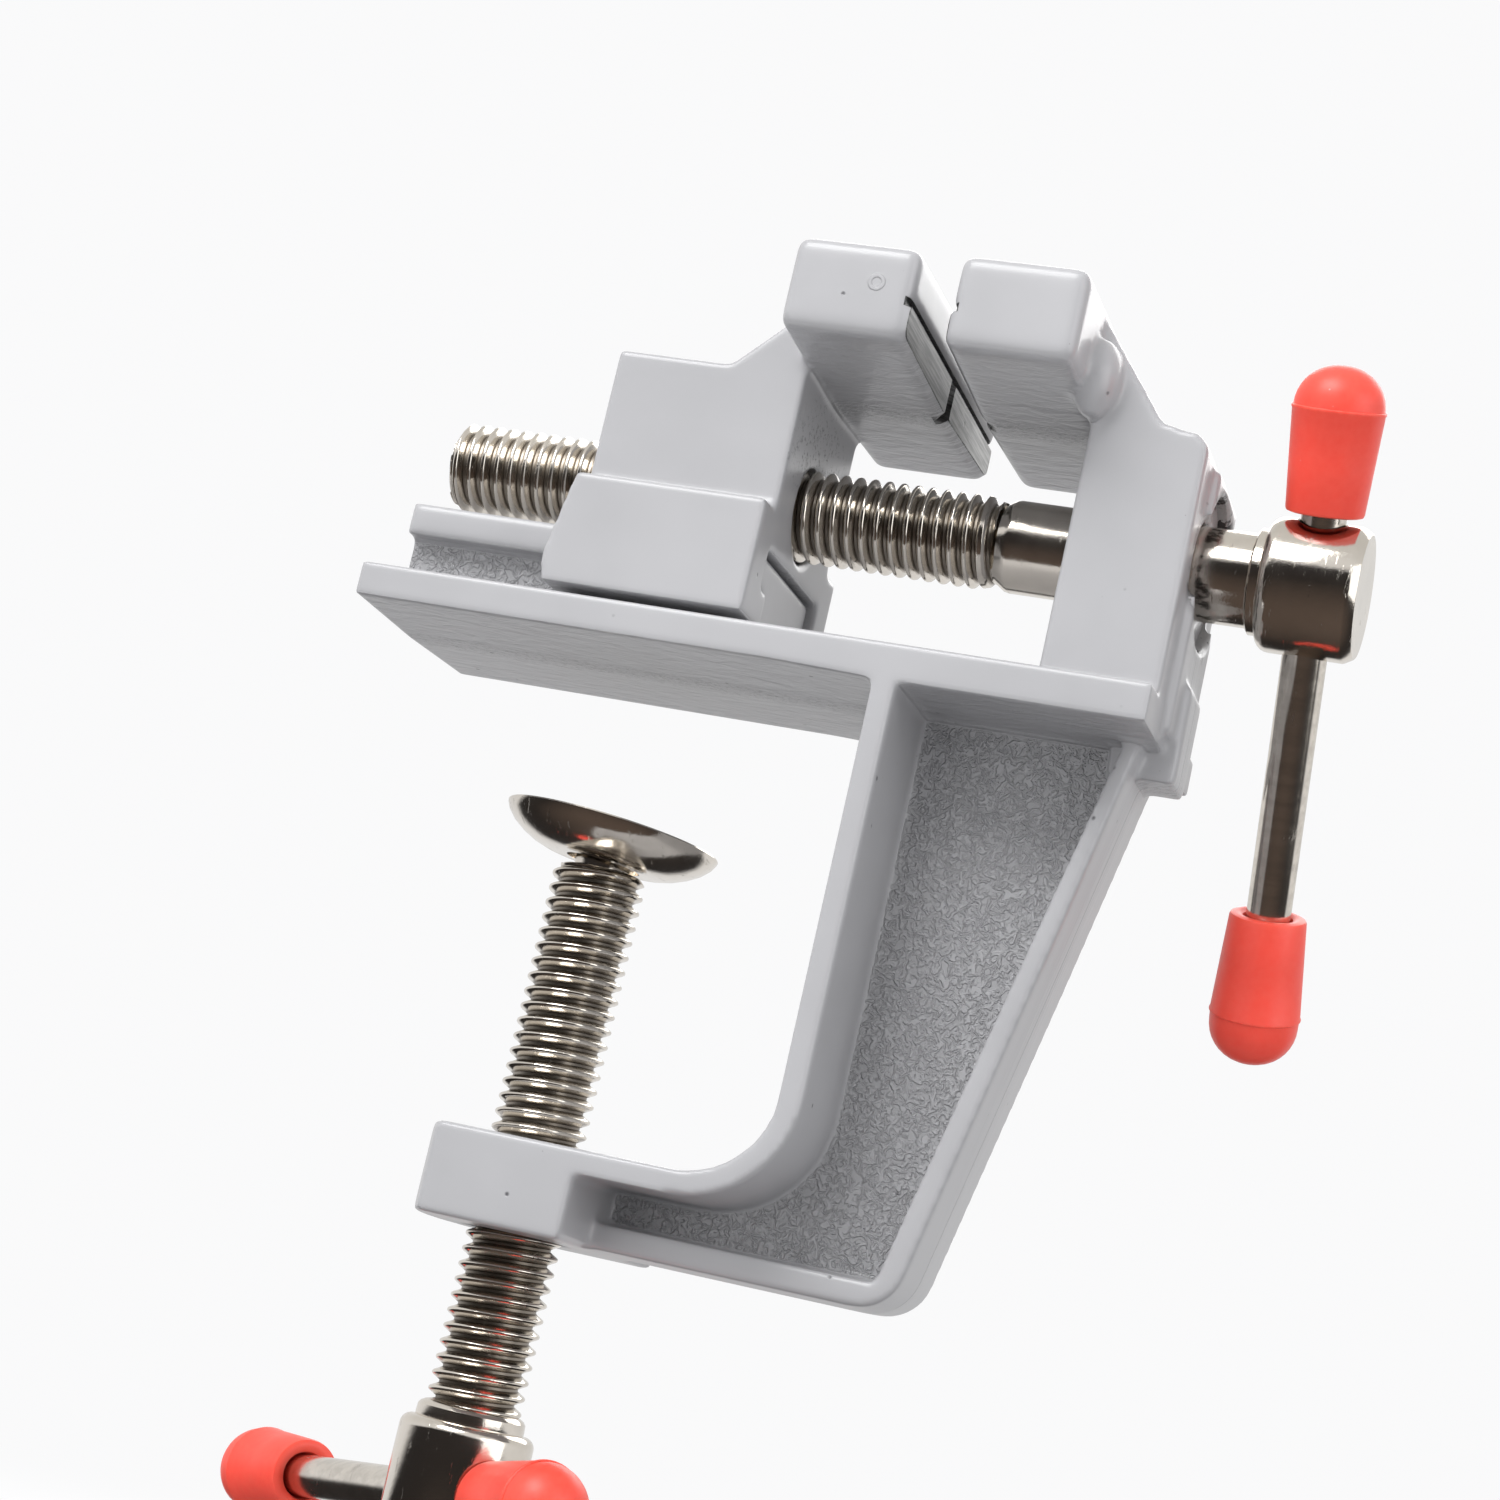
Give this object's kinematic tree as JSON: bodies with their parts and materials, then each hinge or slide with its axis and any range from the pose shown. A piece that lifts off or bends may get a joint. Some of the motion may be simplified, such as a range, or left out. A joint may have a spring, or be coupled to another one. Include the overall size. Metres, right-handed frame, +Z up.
{
  "type": "clamp-on table vise",
  "caption": "Small clamp-on table vise: sliding jaw on a T-rail driven by a lead screw, C-frame table clamp with swivel pad, tommy bars with end caps.",
  "frame": {"origin": "where the clamp-screw axis meets the face of the bed that rests on the table top", "axes": "+X along the lead screw towards its handle, +Y across the jaws, +Z up from the table"},
  "size_m": [0.0869, 0.0447, 0.1089],
  "materials": {
    "grey_paint": "smooth light-grey gloss enamel with a slight orange peel over die-cast metal",
    "jaw_paint": "the same grey enamel, with the lower gripping face machined back to bare metal",
    "nickel": "warm nickel plating, bright, with fine scratches and darker thread roots",
    "bar_nickel": "drawn nickel-plated rod, bright, with fine lengthwise lines",
    "red_vinyl": "soft red dip-moulded vinyl, satin gloss, paler at thin edges",
    "pin_steel": "plain ground steel pin"
  },
  "bodies": {
    "frame": {"frame_casting": "grey_paint", "lead_retaining_pin": "pin_steel"},
    "lead_screw_body": {"lead_screw": "nickel"},
    "jaw": {"moving_jaw": "jaw_paint"},
    "lead_bar": {"lead_tommy_bar": "bar_nickel", "lead_bar_cap_upper": "red_vinyl", "lead_bar_cap_lower": "red_vinyl"},
    "clamp_carriage": {"pad_washer": "nickel"},
    "clamp_screw_body": {"clamp_screw": "nickel"},
    "clamp_bar": {"clamp_tommy_bar": "bar_nickel", "clamp_bar_cap_left": "red_vinyl", "clamp_bar_cap_right": "red_vinyl"},
    "pad": {"swivel_pad": "nickel"}
  },
  "joints": [
    {"name": "lead_spin", "type": "hinge", "parent": "frame", "child": "lead_screw_body", "pos_m": [0, 0, 0.0156], "axis": [1, 0, 0], "range_deg": [-893, 6279]},
    {"name": "jaw_slide", "type": "slide", "parent": "frame", "child": "jaw", "axis": [1, 0, 0], "range_m": [-0.0218, 0.0031]},
    {"name": "lead_bar_slide", "type": "slide", "parent": "lead_screw_body", "child": "lead_bar", "axis": [0, -0.3907, 0.9205], "range_m": [-0.0003, 0.0206]},
    {"name": "clamp_travel", "type": "slide", "parent": "frame", "child": "clamp_carriage", "axis": [0, 0, 1], "range_m": [-0.023, 0.0118]},
    {"name": "clamp_spin", "type": "hinge", "parent": "clamp_carriage", "child": "clamp_screw_body", "pos_m": [0, 0, -0.06], "axis": [0, 0, 1], "range_deg": [-6625, 3399]},
    {"name": "clamp_bar_slide", "type": "slide", "parent": "clamp_screw_body", "child": "clamp_bar", "axis": [0.7438, -0.6627, 0.0872], "range_m": [-0.0003, 0.0206]},
    {"name": "pad_tilt", "type": "hinge", "parent": "clamp_carriage", "child": "pad", "pos_m": [0, 0, -0.0157], "axis": [0, 1, 0], "range_deg": [-11.5, 3]}
  ],
  "couplings": [
    {"joint": "lead_spin", "follows": "jaw_slide", "rad_per_m": -5026.5},
    {"joint": "clamp_spin", "follows": "clamp_travel", "rad_per_m": 5026.5}
  ]
}
